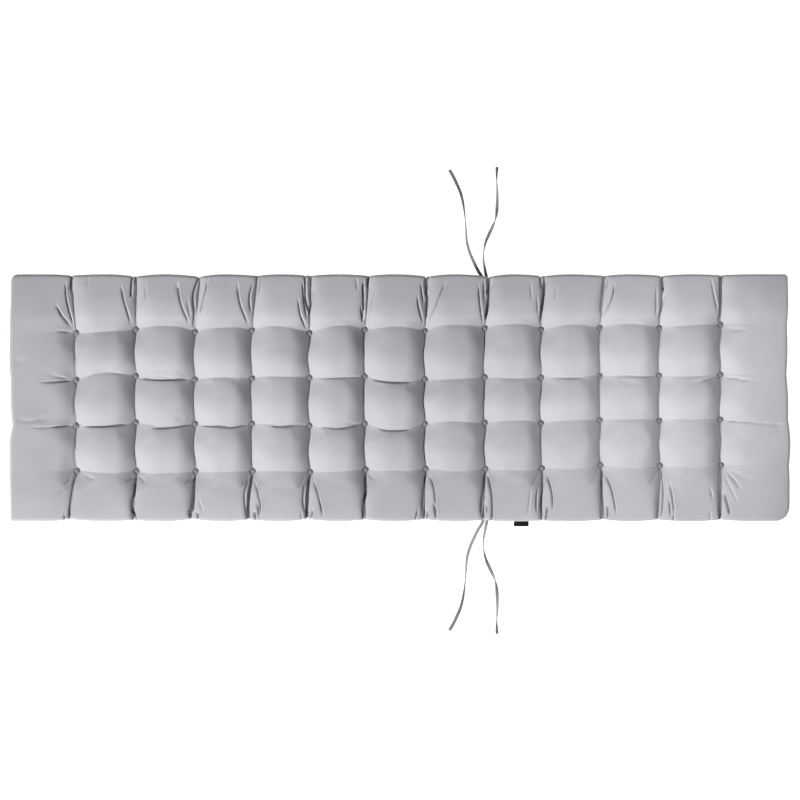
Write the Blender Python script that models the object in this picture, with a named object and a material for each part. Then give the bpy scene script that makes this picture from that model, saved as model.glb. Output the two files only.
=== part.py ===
"""Button-tufted sun lounger cushion with two pairs of tie tapes, lying on its back.

Metres, +Z up. X runs along the cushion, Y across it, and the origin is at the middle of
the underside, on the surface that the cushion lies on.
"""

import math
from collections import namedtuple

import bmesh
import bpy
import numpy as np
from mathutils import Vector

# Overall size of the filled cushion
LENGTH = 1.900
WIDTH = 0.600
CROWN_Z = 0.080
SEAM_Z = 0.032

# How far in from the seam the top and the underside finish turning, and the gentle fall of the
# outer puffs towards it
TOP_TURN = 0.016
UNDER_TURN = 0.024
EDGE_FALL = 0.011
EDGE_FALL_REACH = 0.120

# Corner radii, by which end and which long edge
CORNER_RADII = {(-1, 1): 0.019, (-1, -1): 0.010, (1, 1): 0.010, (1, -1): 0.022}

# Heights pulled down by the tufting, and the share of a column crease's depth left at the seam
SEAT_Z = 0.044
SEAT_HALF = 0.009
COLUMN_CREASE_Z = 0.055
ROW_CREASE_Z = 0.060
EDGE_CREASE_SHARE = 0.35
CREASE_SHARPNESS = 2.6
END_CREASE_FADE = 1.5

# How far a crease that runs out over an end puff reaches from its last tuft
END_CREASE_REACH = 0.110
# How far a row crease's sideways bow pulls the cloth beside it
BOW_REACH = 0.050

# How far a column's crease swings towards the low-x end between two of its tufts
COLUMN_BOW = -0.0035

# Gathers of the edges. FROM and FULL are shares of the way from the outer tufts to the seam. AT
# and HALF are the net's distances from a tuft column.
END_PINCH = 0.003
PINCH_FROM = 0.60
SIDE_FOLD_FROM = 0.15
SIDE_FOLD_FULL = 0.70
SIDE_FOLD_DEPTH = 0.008
SIDE_FOLD_PINCH = 0.002
SIDE_FOLD_AT = 0.018
SIDE_FOLD_HALF = 0.009
FAN_HALF = 0.065

# Underside
UNDER_DIMPLE = 0.012
UNDER_DIMPLE_X = 0.028
UNDER_DIMPLE_Y = 0.024

# Net lines of the panels: how far they lie beside each tuft, and in from the seam
TOP_BESIDE_COLUMN = (0, 0.009, 0.018, 0.032)
TOP_BESIDE_ROW = (0, 0.009, 0.020)
TOP_IN_FROM_END = (0, 0.0015, 0.005, 0.010, TOP_TURN, 0.045, 0.085)
TOP_IN_FROM_LONG_EDGE = (0, 0.0015, 0.005, 0.010, TOP_TURN, 0.035, 0.062, 0.090)
UNDER_IN_FROM_SEAM = (0.004, 0.012, UNDER_TURN)

# Fitted pieces. The button's profile gives shares of its radius and of its height.
BUTTON_RADIUS = 0.0075
BUTTON_HEIGHT = 0.0065
BUTTON_PROFILE = ((0.0, 1.0), (0.62, 0.88), (1.0, 0.40), (0.84, 0.0), (0.0, 0.0))
BUTTON_STEPS = 10
TAPE_WIDTH = 0.008
TAPE_THICKNESS = 0.0015
TAPE_STEP = 0.009
DENSE_READINGS = 400
TAPE_FALL = 0.085
LABEL_X = 0.296
LABEL_WIDTH = 0.036
LABEL_REACH = 0.015
LABEL_THICKNESS = 0.0012
LABEL_DROOP = 0.004
LABEL_SECTIONS = 4
GAP = 0.0003

# Tuft columns from the low-x end. tufts are the four tufts' places along Y, from the near long
# edge to the far one. For each long edge, pinch is how far the column draws the seam in, and main
# and side are where its main crease and its side fold meet the seam, along X from the tufts.
Edge = namedtuple("Edge", "main side pinch")
Column = namedtuple("Column", "x tufts near far")
COLUMNS = (
    Column(-0.788, (-0.179, -0.069, 0.042, 0.157), Edge(-0.015, -0.029, 0.006), Edge(-0.011, -0.027, 0.004)),
    Column(-0.643, (-0.179, -0.061, 0.052, 0.165), Edge(-0.004, 0.022, 0.003), Edge(0.003, -0.037, 0.007)),
    Column(-0.499, (-0.180, -0.065, 0.043, 0.159), Edge(-0.008, 0.014, 0.007), Edge(0.014, -0.030, 0.008)),
    Column(-0.360, (-0.180, -0.064, 0.046, 0.163), Edge(-0.010, 0.020, 0.005), Edge(0.014, -0.030, 0.005)),
    Column(-0.220, (-0.182, -0.069, 0.048, 0.156), Edge(-0.005, 0.033, 0.007), Edge(0.004, -0.020, 0.005)),
    Column(-0.085, (-0.176, -0.064, 0.051, 0.164), Edge(0.001, 0.020, 0.005), Edge(0.010, -0.010, 0.005)),
    Column(0.061, (-0.174, -0.065, 0.044, 0.161), Edge(-0.003, 0.026, 0.006), Edge(0.008, -0.018, 0.007)),
    Column(0.207, (-0.174, -0.062, 0.049, 0.168), Edge(-0.006, 0.018, 0.004), Edge(0.013, -0.014, 0.008)),
    Column(0.344, (-0.173, -0.063, 0.048, 0.165), Edge(-0.001, 0.029, 0.002), Edge(0.006, -0.014, 0.006)),
    Column(0.487, (-0.165, -0.056, 0.052, 0.169), Edge(0.008, 0.041, 0.005), Edge(0.013, 0.041, 0.005)),
    Column(0.632, (-0.167, -0.057, 0.053, 0.169), Edge(-0.008, 0.038, 0.005), Edge(0.008, -0.014, 0.005)),
    Column(0.781, (-0.165, -0.054, 0.055, 0.177), Edge(-0.002, 0.026, 0.005), Edge(0.002, -0.022, 0.003)),
)

# Tuft rows from the near long edge to the far one. y is the row's middle place, and shift is how
# far its tufts stand along X from their columns. bows says how far each crease between two
# neighbouring tufts swings along Y at its middle, from the low-x end.
Row = namedtuple("Row", "y shift bows")
ROWS = (
    Row(-0.174, 0.002, (-0.004, -0.005, -0.001, 0.002, -0.001, -0.004, -0.005, -0.004, -0.005, -0.006, -0.004)),
    Row(-0.062, 0.000, (-0.002, -0.007, -0.005, -0.001, -0.007, -0.013, 0.005, 0.007, 0.004, 0.004, 0.003)),
    Row(0.048, 0.000, (0.012, 0.000, 0.004, 0.004, -0.001, -0.008, -0.002, -0.002, -0.001, 0.000, -0.003)),
    Row(0.164, 0.000, (-0.002, 0.012, 0.009, 0.013, 0.014, 0.009, 0.012, 0.012, 0.009, 0.009, 0.002)),
)

# Tie tapes on the far edge: where the middle of the tape runs along X and out from the seam, and
# how far it has turned from lying flat, in degrees. The near edge has the same two, mirrored, and
# lying farther out by NEAR_LEAD, which they cross from roots at NEAR_ROOTS.
RoutePoint = namedtuple("RoutePoint", "x out turn")
TIE_ROUTES = {
    "low": (
        RoutePoint(0.1984, 0.0000, 20),
        RoutePoint(0.1908, 0.0120, 25),
        RoutePoint(0.1821, 0.0305, 30),
        RoutePoint(0.1723, 0.0535, 35),
        RoutePoint(0.1657, 0.0750, 45),
        RoutePoint(0.1630, 0.0915, 58),
        RoutePoint(0.1616, 0.1130, 75),
        RoutePoint(0.1598, 0.1370, 92),
        RoutePoint(0.1576, 0.1590, 112),
        RoutePoint(0.1538, 0.1830, 132),
        RoutePoint(0.1484, 0.2045, 152),
        RoutePoint(0.1396, 0.2255, 166),
        RoutePoint(0.1303, 0.2450, 174),
        RoutePoint(0.1210, 0.2610, 180),
    ),
    "high": (
        RoutePoint(0.2106, 0.0000, 30),
        RoutePoint(0.2074, 0.0175, 50),
        RoutePoint(0.2040, 0.0415, 78),
        RoutePoint(0.2055, 0.0650, 100),
        RoutePoint(0.2106, 0.0870, 135),
        RoutePoint(0.2187, 0.1055, 170),
        RoutePoint(0.2267, 0.1230, 215),
        RoutePoint(0.2333, 0.1395, 275),
        RoutePoint(0.2370, 0.1590, 330),
        RoutePoint(0.2382, 0.1805, 385),
        RoutePoint(0.2384, 0.2045, 420),
        RoutePoint(0.2370, 0.2330, 450),
        RoutePoint(0.2370, 0.2550, 490),
        RoutePoint(0.2379, 0.2695, 515),
    ),
}
NEAR_LEAD = 0.013
NEAR_ROOTS = {"low": RoutePoint(0.2038, 0.0, 20), "high": RoutePoint(0.2126, 0.0, 25)}

# Colour, roughness and metallic value of each material
FINISHES = {
    "shell": ((0.48, 0.47, 0.51, 1.0), 0.75, 0.0),
    "button": ((0.42, 0.41, 0.45, 1.0), 0.75, 0.0),
    "tape": ((0.30, 0.30, 0.32, 1.0), 0.80, 0.0),
    "label": ((0.01, 0.01, 0.012, 1.0), 0.60, 0.0),
}


# Scene set-up

def clear_scene():
    for obj in list(bpy.data.objects):
        bpy.data.objects.remove(obj, do_unlink=True)


def new_collection(name):
    collection = bpy.data.collections.new(name)
    bpy.context.scene.collection.children.link(collection)
    return collection


def make_material(name):
    colour, roughness, metallic = FINISHES[name]
    material = bpy.data.materials.new(name)
    material.use_nodes = True
    shader = material.node_tree.nodes["Principled BSDF"]
    shader.inputs["Base Color"].default_value = colour
    shader.inputs["Roughness"].default_value = roughness
    shader.inputs["Metallic"].default_value = metallic
    material.diffuse_color = colour
    return material


def add_object(name, data, collection, material):
    obj = bpy.data.objects.new(name, data)
    if not data.materials:
        data.materials.append(material)
    collection.objects.link(obj)
    return obj


# The tufted form. A plan point is given on a square net whose lines run straight through the
# tufts. shell_point() swings that net to the real creases and outline, and gives its height.

COLUMN_X = [column.x for column in COLUMNS]
ROW_Y = [row.y for row in ROWS]
TUFTS_BY_ROW = list(zip(*(column.tufts for column in COLUMNS)))


def smooth(t):
    t = min(max(t, 0.0), 1.0)
    return t * t * (3 - 2 * t)


def nearest_line(lines, value):
    """Index of the tuft line nearest to value, and the signed distance from it."""
    index = min(range(len(lines)), key=lambda i: abs(lines[i] - value))
    return index, value - lines[index]


def crease_share(lines, value):
    """1 on a tuft line, falling to 0 at the middle of the puff beside it."""
    index, off = nearest_line(lines, value)
    neighbour = index + (1 if off > 0 else -1)
    if 0 <= neighbour < len(lines):
        half = abs(lines[neighbour] - lines[index]) / 2
    else:
        half = abs(lines[1] - lines[0]) / 2
    return (1 - min(abs(off) / half, 1.0)) ** CREASE_SHARPNESS


def edge_share(y):
    """0 between the outer tuft rows, rising to 1 at either long edge."""
    outer = ROW_Y[-1] if y > 0 else ROW_Y[0]
    return max(0.0, (abs(y) - abs(outer)) / (WIDTH / 2 - abs(outer)))


def end_share(x):
    """0 between the outer tuft columns, rising to 1 at either end."""
    outer = COLUMN_X[-1] if x > 0 else COLUMN_X[0]
    return max(0.0, (abs(x) - abs(outer)) / (LENGTH / 2 - abs(outer)))


def edge_of(column, y):
    return column.far if y > 0 else column.near


def bow_between(lines, value):
    """Which gap between two tuft lines a value is in, and 0 at the lines up to 1 halfway."""
    if not lines[0] < value < lines[-1]:
        return 0, 0.0
    gap = sum(line <= value for line in lines) - 1
    return gap, math.sin(math.pi * (value - lines[gap]) / (lines[gap + 1] - lines[gap]))


def side_fold_at(edge):
    """The net line of an edge's side fold, beside its column."""
    return math.copysign(SIDE_FOLD_AT, edge.side - edge.main)


def fan_offset(edge, off):
    """Where a net line that lies off beside a tuft column has fanned out to at the seam."""
    at = side_fold_at(edge)
    knots = sorted([(-FAN_HALF, -FAN_HALF), (0.0, edge.main), (at, edge.side), (FAN_HALF, FAN_HALF)])
    return float(np.interp(off, [knot[0] for knot in knots], [knot[1] for knot in knots]))


def side_fold_share(x, y):
    """1 in the bottom of the side fold of the nearest column, on the edge puffs only."""
    index, off = nearest_line(COLUMN_X, x)
    at = side_fold_at(edge_of(COLUMNS[index], y))
    across = max(0.0, 1 - abs(off - at) / SIDE_FOLD_HALF)
    return across * smooth((edge_share(y) - SIDE_FOLD_FROM) / (SIDE_FOLD_FULL - SIDE_FOLD_FROM))


def round_corner(x, y):
    """Draws the square corner of the net in to the cushion's rounded one."""
    radius = CORNER_RADII[1 if x > 0 else -1, 1 if y > 0 else -1]
    reach_x, reach_y = LENGTH / 2 - radius, WIDTH / 2 - radius
    p, q = (abs(x) - reach_x) / radius, (abs(y) - reach_y) / radius
    if p <= 0 or q <= 0:
        return x, y
    round_p, round_q = p * math.sqrt(1 - q * q / 2), q * math.sqrt(1 - p * p / 2)
    return (
        math.copysign(reach_x + round_p * radius, x),
        math.copysign(reach_y + round_q * radius, y),
    )


def plan_point(x, y):
    """The real plan position of a point of the net: tufts placed, creases bowed, edges gathered."""
    nearest_column, off_x = nearest_line(COLUMN_X, x)
    nearest_row, off_y = nearest_line(ROW_Y, y)
    edge = edge_of(COLUMNS[nearest_column], y)
    to_edge, to_end = edge_share(y), end_share(x)
    inner = (1 - to_edge) * (1 - to_end)
    tufts_here = [float(np.interp(x, COLUMN_X, tufts)) for tufts in TUFTS_BY_ROW]
    new_y = float(np.interp(y, [-WIDTH / 2, *ROW_Y, WIDTH / 2], [-WIDTH / 2, *tufts_here, WIDTH / 2]))
    gap, bow = bow_between(COLUMN_X, x)
    new_y += ROWS[nearest_row].bows[gap] * bow * smooth(1 - abs(off_y) / BOW_REACH) * inner
    row_shift = float(np.interp(y, ROW_Y, [row.shift for row in ROWS]))
    column_bow = COLUMN_BOW * bow_between(ROW_Y, y)[1] * smooth(1 - abs(off_x) / BOW_REACH)
    new_x = x + (row_shift + column_bow) * inner
    if abs(off_x) < FAN_HALF:
        new_x += (fan_offset(edge, off_x) - off_x) * to_edge
    pinch = edge.pinch * crease_share(COLUMN_X, x) + SIDE_FOLD_PINCH * side_fold_share(x, y)
    new_y -= math.copysign(pinch * smooth((to_edge - PINCH_FROM) / (1 - PINCH_FROM)), y)
    end_pinch = END_PINCH * crease_share(ROW_Y, y)
    new_x -= math.copysign(end_pinch * smooth((to_end - PINCH_FROM) / (1 - PINCH_FROM)), x)
    return round_corner(new_x, new_y)


def turn_share(x, y, turn):
    """0 at the seam, rising along a quarter ellipse to 1 where the cloth has turned level."""
    share = 1.0
    for inset in (LENGTH / 2 - abs(x), WIDTH / 2 - abs(y)):
        share *= math.sqrt(1 - (1 - min(max(inset / turn, 0.0), 1.0)) ** 2)
    return share


def is_seat(x, y):
    off_x, off_y = nearest_line(COLUMN_X, x)[1], nearest_line(ROW_Y, y)[1]
    return round(max(abs(off_x), abs(off_y)), 6) <= SEAT_HALF


def edge_fall(x, y):
    """How far the outer puffs have fallen on their way to the seam."""
    insets = (LENGTH / 2 - abs(x), WIDTH / 2 - abs(y))
    return sum(EDGE_FALL * max(0.0, 1 - inset / EDGE_FALL_REACH) ** 2 for inset in insets)


def top_height(x, y):
    """Height of the upper panel over a plan point of the net."""
    if is_seat(x, y):
        return SEAT_Z
    on_column, on_row = crease_share(COLUMN_X, x), crease_share(ROW_Y, y)
    column_depth = (CROWN_Z - COLUMN_CREASE_Z) * (1 - (1 - EDGE_CREASE_SHARE) * smooth(edge_share(y)))
    beyond = max(0.0, abs(x) - abs(COLUMN_X[-1] if x > 0 else COLUMN_X[0]))
    row_depth = (CROWN_Z - ROW_CREASE_Z) * max(0.0, 1 - beyond / END_CREASE_REACH) ** END_CREASE_FADE
    drop = (CROWN_Z - SEAT_Z) * on_column * on_row
    drop += column_depth * on_column * (1 - on_row)
    drop += row_depth * (1 - on_column) * on_row
    drop += SIDE_FOLD_DEPTH * side_fold_share(x, y) + edge_fall(x, y)
    return SEAM_Z + (CROWN_Z - drop - SEAM_Z) * turn_share(x, y, TOP_TURN)


def under_height(x, y):
    """Height of the underside: flat on the surface, dimpled under each tuft, turned up to the seam."""
    off_x, off_y = nearest_line(COLUMN_X, x)[1], nearest_line(ROW_Y, y)[1]
    dimple = max(0.0, 1 - abs(off_x) / UNDER_DIMPLE_X) * max(0.0, 1 - abs(off_y) / UNDER_DIMPLE_Y)
    return UNDER_DIMPLE * dimple + SEAM_Z * (1 - turn_share(x, y, UNDER_TURN))


def shell_point(x, y, height):
    new_x, new_y = plan_point(x, y)
    return Vector((new_x, new_y, height(x, y)))


# Net lines, crowded at the tufts, the folds and the seam

def net_lines(tufts, beside, half_span, edge_insets, with_crowns):
    lines = {tuft + sign * step for tuft in tufts for step in beside for sign in (-1, 1)}
    if with_crowns:
        lines |= {(a + b) / 2 for a, b in zip(tufts, tufts[1:])}
    lines |= {sign * (half_span - inset) for inset in edge_insets for sign in (-1, 1)}
    return sorted({round(line, 6) for line in lines})


TOP_X_LINES = net_lines(COLUMN_X, TOP_BESIDE_COLUMN, LENGTH / 2, TOP_IN_FROM_END, True)
TOP_Y_LINES = net_lines(ROW_Y, TOP_BESIDE_ROW, WIDTH / 2, TOP_IN_FROM_LONG_EDGE, True)
UNDER_X_LINES = net_lines(COLUMN_X, (0, UNDER_DIMPLE_X), LENGTH / 2, UNDER_IN_FROM_SEAM, False)
UNDER_Y_LINES = net_lines(ROW_Y, (0, UNDER_DIMPLE_Y), WIDTH / 2, UNDER_IN_FROM_SEAM, False)


def add_panel(bm, x_lines, y_lines, height):
    """A net of faces over the crossings of the lines, moved to the shell's form."""
    made = bmesh.ops.create_grid(
        bm, x_segments=len(x_lines) - 1, y_segments=len(y_lines) - 1, size=0.5
    )
    for vert in made["verts"]:
        column = round((vert.co.x + 0.5) * (len(x_lines) - 1))
        row = round((vert.co.y + 0.5) * (len(y_lines) - 1))
        vert.co = shell_point(x_lines[column], y_lines[row], height)
    return made["verts"]


def make_cushion(collection, material):
    bm = bmesh.new()
    add_panel(bm, TOP_X_LINES, TOP_Y_LINES, top_height)
    under = add_panel(bm, UNDER_X_LINES, UNDER_Y_LINES, under_height)
    under_faces = {face for vert in under for face in vert.link_faces}
    bmesh.ops.reverse_faces(bm, faces=list(under_faces))
    rims = [edge for edge in bm.edges if edge.is_boundary]
    bmesh.ops.bridge_loops(bm, edges=rims)
    bmesh.ops.recalc_face_normals(bm, faces=bm.faces)
    mesh = bpy.data.meshes.new("cushion")
    bm.to_mesh(mesh)
    bm.free()
    mesh.shade_smooth()
    return add_object("cushion", mesh, collection, material)


# Covered buttons, one mesh shared by all the tufts

def button_mesh():
    """A turned dome, drawn in under its edge."""
    bm = bmesh.new()
    points = [
        bm.verts.new((share * BUTTON_RADIUS, 0.0, level * BUTTON_HEIGHT)) for share, level in BUTTON_PROFILE
    ]
    edges = [bm.edges.new(pair) for pair in zip(points, points[1:])]
    bmesh.ops.spin(
        bm,
        geom=points + edges,
        cent=(0, 0, 0),
        axis=(0, 0, 1),
        angle=2 * math.pi,
        steps=BUTTON_STEPS,
        use_duplicate=False,
    )
    bmesh.ops.remove_doubles(bm, verts=bm.verts, dist=0.00005)
    bmesh.ops.recalc_face_normals(bm, faces=bm.faces)
    mesh = bpy.data.meshes.new("button")
    bm.to_mesh(mesh)
    bm.free()
    mesh.shade_smooth()
    return mesh


def make_buttons(collection, material):
    mesh = button_mesh()
    for row_number, row in enumerate(reversed(ROWS), start=1):
        for column_number, column in enumerate(COLUMNS, start=1):
            name = f"button_r{row_number}_c{column_number:02d}"
            button = add_object(name, mesh, collection, material)
            seat = shell_point(column.x, row.y, top_height)
            button.location = seat + Vector((0, 0, GAP))


# Tie tapes

def rim_out(x, side):
    """How far out from the middle a long edge's seam stands at x. side is 1 far, -1 near."""
    rim = [plan_point(line, side * WIDTH / 2) for line in TOP_X_LINES]
    return float(np.interp(x, [point[0] for point in rim], [abs(point[1]) for point in rim]))


def root_out(x, width, side, slant=0.0):
    """How far out the middle of a piece's sewn end stands, GAP clear of the seam all along its width.

    slant is how much of its way out the piece goes along X.
    """
    across = math.sqrt(1 - slant**2)
    clear = 0.0
    for share in (-0.5, -0.25, 0, 0.25, 0.5):
        clear = max(clear, rim_out(x + share * width * across, side) + share * width * slant)
    return clear + GAP


def through(points, t):
    """A smooth curve through the points, read at t from 0 to len(points) - 1."""
    index = min(int(t), len(points) - 2)
    share = t - index
    a, b = points[index], points[index + 1]
    before = points[index - 1] if index > 0 else 2 * a - b
    after = points[index + 2] if index + 2 < len(points) else 2 * b - a
    return 0.5 * (
        2 * a
        + (b - before) * share
        + (2 * before - 5 * a + 4 * b - after) * share**2
        + (3 * a - before - 3 * b + after) * share**3
    )


def tape_line(route, side):
    """Points down the middle of a tape, and its turn at each, from the seam out over the surface."""
    knots = [np.array(point) for point in route]
    dense = np.array([through(knots, t) for t in np.linspace(0, len(knots) - 1, DENSE_READINGS)])
    lengths = np.hypot(np.diff(dense[:, 0]), np.diff(dense[:, 1]))
    along = np.concatenate([[0], np.cumsum(lengths)])
    steps = np.linspace(0, along[-1], round(along[-1] / TAPE_STEP) + 1)
    readings = [[float(np.interp(step, along, dense[:, k])) for k in range(3)] for step in steps]
    slant = (readings[1][0] - readings[0][0]) / steps[1]
    root = root_out(readings[0][0], TAPE_WIDTH, side, slant)
    points = []
    for x, out, turn in readings:
        turn = math.radians(turn)
        lying = GAP + abs(math.sin(turn)) * TAPE_WIDTH / 2 + abs(math.cos(turn)) * TAPE_THICKNESS / 2
        z = lying + (SEAM_Z - lying) * (1 - smooth(out / TAPE_FALL))
        points.append((Vector((x, side * (root + out), z)), side * turn))
    return points


def make_tie(name, route, side, collection, material):
    curve = bpy.data.curves.new(name, "CURVE")
    curve.dimensions = "3D"
    curve.twist_mode = "Z_UP"
    curve.extrude = TAPE_WIDTH / 2 - TAPE_THICKNESS / 2
    curve.bevel_depth = TAPE_THICKNESS / 2
    curve.bevel_resolution = 0
    curve.use_fill_caps = True
    line = tape_line(route, side)
    spline = curve.splines.new("POLY")
    spline.points.add(len(line) - 1)
    for point, (place, turn) in zip(spline.points, line):
        point.co = (*place, 1.0)
        point.tilt = math.pi / 2 + turn
    return add_object(name, curve, collection, material)


def make_ties(collection, material):
    for place, route in TIE_ROUTES.items():
        make_tie(f"tie_far_{place}", route, 1, collection, material)
        lying_out = [RoutePoint(point.x, point.out + NEAR_LEAD, point.turn) for point in route]
        make_tie(f"tie_near_{place}", [NEAR_ROOTS[place], *lying_out], -1, collection, material)


# Sewn-in label, blank

def make_label(collection, material):
    bm = bmesh.new()
    bmesh.ops.create_cube(bm, size=1.0)
    for section in range(1, LABEL_SECTIONS):
        bmesh.ops.bisect_plane(
            bm,
            geom=bm.verts[:] + bm.edges[:] + bm.faces[:],
            plane_co=(0, section / LABEL_SECTIONS - 0.5, 0),
            plane_no=(0, 1, 0),
        )
    root = root_out(LABEL_X, LABEL_WIDTH, -1)
    for vert in bm.verts:
        out = 0.5 - vert.co.y
        vert.co = (
            LABEL_X + vert.co.x * LABEL_WIDTH,
            -(root + out * LABEL_REACH),
            SEAM_Z + vert.co.z * LABEL_THICKNESS - LABEL_DROOP * out**2,
        )
    bmesh.ops.recalc_face_normals(bm, faces=bm.faces)
    mesh = bpy.data.meshes.new("label")
    bm.to_mesh(mesh)
    bm.free()
    return add_object("label", mesh, collection, material)


def main():
    clear_scene()
    collection = new_collection("sun_lounger_cushion")
    materials = {name: make_material(name) for name in FINISHES}
    make_cushion(collection, materials["shell"])
    make_buttons(collection, materials["button"])
    make_ties(collection, materials["tape"])
    make_label(collection, materials["label"])


main()
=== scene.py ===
"""Tufted sun lounger cushion seen from straight above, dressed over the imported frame.

Metres, +Z up. X runs along the cushion, Y across it, and the picture's right is +X.
"""

import math
from collections import namedtuple

import bpy
import numpy as np
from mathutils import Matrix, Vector


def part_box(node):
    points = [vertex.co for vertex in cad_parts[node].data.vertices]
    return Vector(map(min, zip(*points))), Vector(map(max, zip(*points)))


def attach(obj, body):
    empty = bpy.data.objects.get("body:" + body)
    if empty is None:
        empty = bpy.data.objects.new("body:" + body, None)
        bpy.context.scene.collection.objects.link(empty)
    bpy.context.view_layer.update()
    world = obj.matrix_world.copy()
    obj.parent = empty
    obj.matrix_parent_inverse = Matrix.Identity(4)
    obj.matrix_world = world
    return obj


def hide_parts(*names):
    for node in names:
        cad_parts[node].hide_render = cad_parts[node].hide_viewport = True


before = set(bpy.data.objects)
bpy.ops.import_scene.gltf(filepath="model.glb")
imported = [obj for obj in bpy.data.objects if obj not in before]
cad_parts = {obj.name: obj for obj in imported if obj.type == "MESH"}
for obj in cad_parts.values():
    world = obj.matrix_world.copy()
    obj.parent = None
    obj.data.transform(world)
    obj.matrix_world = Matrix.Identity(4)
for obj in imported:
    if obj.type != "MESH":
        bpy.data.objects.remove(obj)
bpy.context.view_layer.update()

# The photograph's view: its size in pixels, the length that a pixel shows at the seam's height, the
# pixel that shows the origin, and how high the camera stands over the picture's middle
PICTURE = 800
METRES_A_PIXEL = 0.0024406
ORIGIN_PIXEL = (400.0, 397.3)
CAMERA_HEIGHT = 6.0
CAMERA_SENSOR = 36.0
CAMERA_SEES_TO = 100.0

# Overall size of the filled cushion
LENGTH = 1.900
WIDTH = 0.600
CROWN_Z = 0.080
SEAM_Z = 0.032

# How far in from the seam the top and the underside finish turning, and how full the turn's
# shoulder is: 2 is a quarter ellipse
TOP_TURN = 0.009
UNDER_TURN = 0.024
TOP_FULLNESS = 3.5
UNDER_FULLNESS = 2.0

# The outer puffs' gentle fall towards the seam, at both ends and both long edges: how deep, from
# how far in, and how suddenly
Fall = namedtuple("Fall", "drop reach power")
END_FALLS = (Fall(0.001, 0.060, 2.0), Fall(0.007, 0.080, 2.0))
LONG_EDGE_FALLS = (Fall(0.004, 0.080, 2.0), Fall(0.017, 0.105, 1.4))

# What the tufting pulls down: seats, creases and how they fade towards the seam, the pits round the
# seats, and the dimples underneath
SEAT_Z = 0.039
SEAT_RADIUS = 0.0056
SEAT_WALL = 0.0028
COLUMN_CREASE_Z = 0.052
ROW_CREASE_Z = 0.066
END_CREASE_REACH = 0.090
END_CREASE_FADE = 1.5
EDGE_CREASE_SHARE = 0.33
EDGE_CREASE_NARROWING = 0.80
PIT_DEPTH = 0.0145
PIT_REACH = 0.052
PIT_SHARPNESS = 1.6
UNDER_DIMPLE = 0.012
UNDER_DIMPLE_REACH = 0.016

# The sewn slit at the bottom of a column's crease
SLIT_DEPTH = 0.0045
SLIT_WIDTH = 0.0018

# A puff's section, along X and along Y: where its crest stands, from 0 at the low crease to 1 at
# the high one, and how suddenly it falls to either crease. before and after are the outer puffs:
# their reach from crease to crest, their suddenness, and the share of their fall that is spread
# evenly over EVEN_REACH. CREST_ROUNDING rounds off every crest.
Section = namedtuple("Section", "crest low high before after")
Outer = namedtuple("Outer", "reach power even")
SECTION_X = Section(0.535, 2.0, 3.0, Outer(0.050, 2.3, 0.60), Outer(0.074, 2.0, 0.30))
SECTION_Y = Section(0.378, 1.5, 1.55, Outer(0.110, 1.15, 0.0), Outer(0.076, 1.4, 0.50))
CREST_ROUNDING = 0.12
EVEN_REACH = 0.155

# Uneven filling: how far apart its swells are, how high, and how far from the seam they are full
LUMP_SPACING = 0.046
LUMP_HEIGHT = 0.0009
LUMP_SEAM_REACH = 0.080
LUMP_SEED = 7

# How far the creases swing between the tufts, and how far beside them the cloth goes along with that
COLUMN_BOW = -0.0035
COLUMN_WANDER = 0.0016
COLUMN_SEED = 3
ROW_WANDER = 0.0011
ROW_SEED = 5
BOW_REACH = 0.050

# How far beside a column the cloth fans out with its main crease on the way to the seam
FAN_HALF = 0.065

# The outline: corner radii, by which end and which long edge, how far each puff from the near one on
# stands in from the low and the high end, how far each row draws them in, and the near edge's swell
CORNER_RADII = {(-1, 1): 0.019, (-1, -1): 0.010, (1, 1): 0.010, (1, -1): 0.038}
END_INSETS = ((0.0030, 0.0, 0.0035, 0.0, 0.0030), (0.0030, 0.0010, 0.0065, 0.0080, 0.0055))
END_PINCHES = ((0.000, 0.006, 0.001, 0.0005), (0.003, 0.003, 0.003, 0.002))
NEAR_EDGE_OUT = 0.0020

# Where tufts draw the seam in: from which share of the way to it, how sharply, and how much of a
# column's pull the long edges show
PINCH_FROM = 0.60
PINCH_SHARPNESS = 1.9
PINCH_SHARE = 0.8

# Tuft columns from the low-x end. tufts are the four tufts' places along Y, from the near long
# edge to the far one. near and far say where its main crease meets the seam of that long edge,
# along X from the tufts, and how far it draws the seam in.
Column = namedtuple("Column", "x tufts near far")
COLUMNS = (
    Column(-0.788, (-0.179, -0.069, 0.042, 0.157), (-0.015, 0.006), (-0.011, 0.004)),
    Column(-0.643, (-0.179, -0.061, 0.052, 0.165), (-0.004, 0.003), (0.003, 0.007)),
    Column(-0.499, (-0.180, -0.065, 0.043, 0.159), (-0.008, 0.007), (0.014, 0.008)),
    Column(-0.360, (-0.180, -0.064, 0.046, 0.163), (-0.010, 0.005), (0.014, 0.005)),
    Column(-0.220, (-0.182, -0.069, 0.048, 0.156), (-0.005, 0.007), (0.004, 0.005)),
    Column(-0.085, (-0.176, -0.064, 0.051, 0.164), (0.001, 0.005), (0.010, 0.005)),
    Column(0.061, (-0.174, -0.065, 0.044, 0.161), (-0.003, 0.006), (0.008, 0.007)),
    Column(0.207, (-0.174, -0.062, 0.049, 0.168), (-0.006, 0.004), (0.013, 0.008)),
    Column(0.344, (-0.173, -0.063, 0.048, 0.165), (-0.001, 0.002), (0.006, 0.006)),
    Column(0.487, (-0.165, -0.056, 0.052, 0.169), (0.008, 0.005), (0.013, 0.005)),
    Column(0.632, (-0.167, -0.057, 0.053, 0.169), (-0.008, 0.005), (0.008, 0.005)),
    Column(0.781, (-0.165, -0.054, 0.055, 0.177), (-0.002, 0.005), (0.002, 0.003)),
)

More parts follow.
